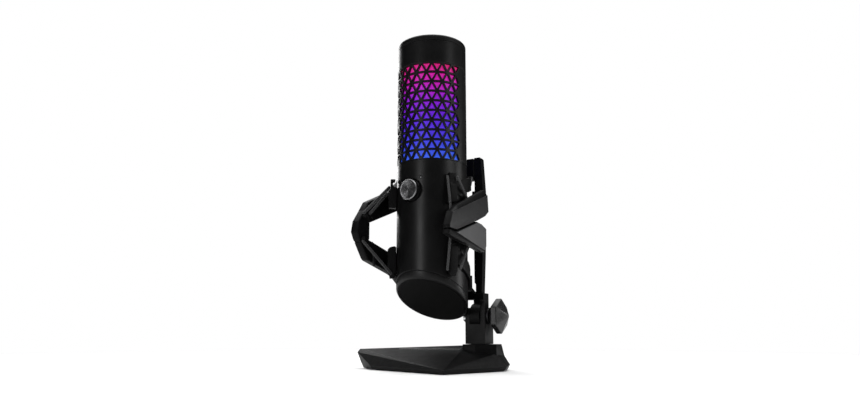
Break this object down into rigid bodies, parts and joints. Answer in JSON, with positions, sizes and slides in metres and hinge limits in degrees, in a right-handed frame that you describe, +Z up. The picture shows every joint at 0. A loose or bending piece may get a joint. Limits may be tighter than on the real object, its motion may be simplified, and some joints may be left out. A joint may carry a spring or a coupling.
{
  "type": "desktop microphone",
  "caption": "Upright condenser microphone with a glowing lattice grille and a press-and-turn dial, hung on elastic strands in a tilting faceted frame over a heavy wedge base.",
  "frame": {"origin": "centre of the part's bounding box in X and Y, on the table under the sole", "axes": "+Z up along the microphone tube; -Y is the front, where the dial is; +X is the side with the clamp knob"},
  "size_m": [0.1576, 0.1428, 0.3102],
  "materials": {
    "base_finish": "matte fine-textured black paint",
    "bright_steel": "plain bright steel",
    "sole_rubber": "matte black rubber",
    "knob_finish": "satin dark grey plastic",
    "frame_plastic": "fine-textured black plastic",
    "arm_grey": "satin charcoal plastic",
    "elastic_cord": "braided elastic cord",
    "cradle_plastic": "matte black plastic",
    "tube_finish": "satin black coating",
    "soft_bottom": "soft-touch black",
    "diffuser": "milky diffuser lit pink at the top to blue at the bottom",
    "foam": "open-cell acoustic foam",
    "circuit_board": "green solder mask",
    "capsule_metal": "satin",
    "clear_lens": "clear gloss",
    "spun_metal": "spun face with fine turning marks"
  },
  "bodies": {
    "stand": {"base_cover": "base_finish", "base_weight": "bright_steel", "base_sole": "sole_rubber", "base_screw_left": "bright_steel", "base_screw_right": "bright_steel", "post": "base_finish", "pivot_bolt": "bright_steel", "friction_washer": "bright_steel"},
    "clamp": {"clamp_knob": "knob_finish"},
    "frame": {"lower_rail": "frame_plastic", "upper_plate": "frame_plastic", "upper_bridge": "frame_plastic", "lower_bridge": "frame_plastic", "left_upper_arm": "frame_plastic", "left_cheek": "frame_plastic", "left_lower_arm": "frame_plastic", "right_upper_arm": "arm_grey", "right_lower_arm": "arm_grey", "peg_left_upper": "bright_steel", "peg_left_lower": "bright_steel", "peg_right_upper_front": "bright_steel", "peg_right_upper_rear": "bright_steel", "peg_right_lower_front": "bright_steel", "peg_right_lower_rear": "bright_steel", "strand_left_upper_outer": "elastic_cord", "strand_left_upper_inner": "elastic_cord", "strand_left_lower": "elastic_cord", "strand_right_upper_front": "elastic_cord", "strand_right_upper_rear": "elastic_cord", "strand_right_lower_front": "elastic_cord", "strand_right_lower_rear": "elastic_cord", "strand_rear_right": "elastic_cord", "strand_rear_left": "elastic_cord"},
    "microphone": {"upper_band": "cradle_plastic", "lower_band": "cradle_plastic", "hook_block_upper_left": "cradle_plastic", "hook_block_lower_left": "cradle_plastic", "hook_block_upper_right": "cradle_plastic", "hook_block_lower_right": "cradle_plastic", "mic_tube": "tube_finish", "bottom_ring": "tube_finish", "bottom_cover": "soft_bottom", "grille_sleeve": "tube_finish", "upper_collar": "tube_finish", "top_cap": "tube_finish", "light_diffuser": "diffuser", "foam_liner": "foam", "led_ring_board": "circuit_board", "mic_chassis": "cradle_plastic", "capsule_mount": "cradle_plastic", "condenser_capsule": "capsule_metal", "main_board": "circuit_board", "usb_port": "bright_steel", "headphone_jack": "cradle_plastic", "status_lens": "clear_lens", "dial_bezel": "cradle_plastic", "dial_encoder": "bright_steel"},
    "dial_stem": {"dial_shaft": "bright_steel"},
    "dial": {"gain_dial": "spun_metal"}
  },
  "joints": [
    {"name": "tilt", "type": "hinge", "parent": "stand", "child": "frame", "pos_m": [0.0495, 0.03497, 0.0502], "axis": [1, 0, 0], "range_deg": [-12, 20]},
    {"name": "clamp_spin", "type": "hinge", "parent": "stand", "child": "clamp", "pos_m": [0.0618, 0.03497, 0.0502], "axis": [1, 0, 0], "continuous": true},
    {"name": "suspension", "type": "slide", "parent": "frame", "child": "microphone", "axis": [0, 0, 1], "range_m": [-0.003, 0.003], "stiffness_N_per_m": 4000, "springref_m": 0.00127, "deforming": ["strand_left_upper_outer", "strand_left_upper_inner", "strand_left_lower", "strand_right_upper_front", "strand_right_upper_rear", "strand_right_lower_front", "strand_right_lower_rear", "strand_rear_right", "strand_rear_left"]},
    {"name": "dial_press", "type": "slide", "parent": "microphone", "child": "dial_stem", "axis": [0.1219, 0.9925, 0], "range_m": [0, 0.0008], "stiffness_N_per_m": 1500},
    {"name": "dial_spin", "type": "hinge", "parent": "dial_stem", "child": "dial", "pos_m": [0.01527, -0.04314, 0.1615], "axis": [-0.1219, -0.9925, 0], "continuous": true}
  ]
}
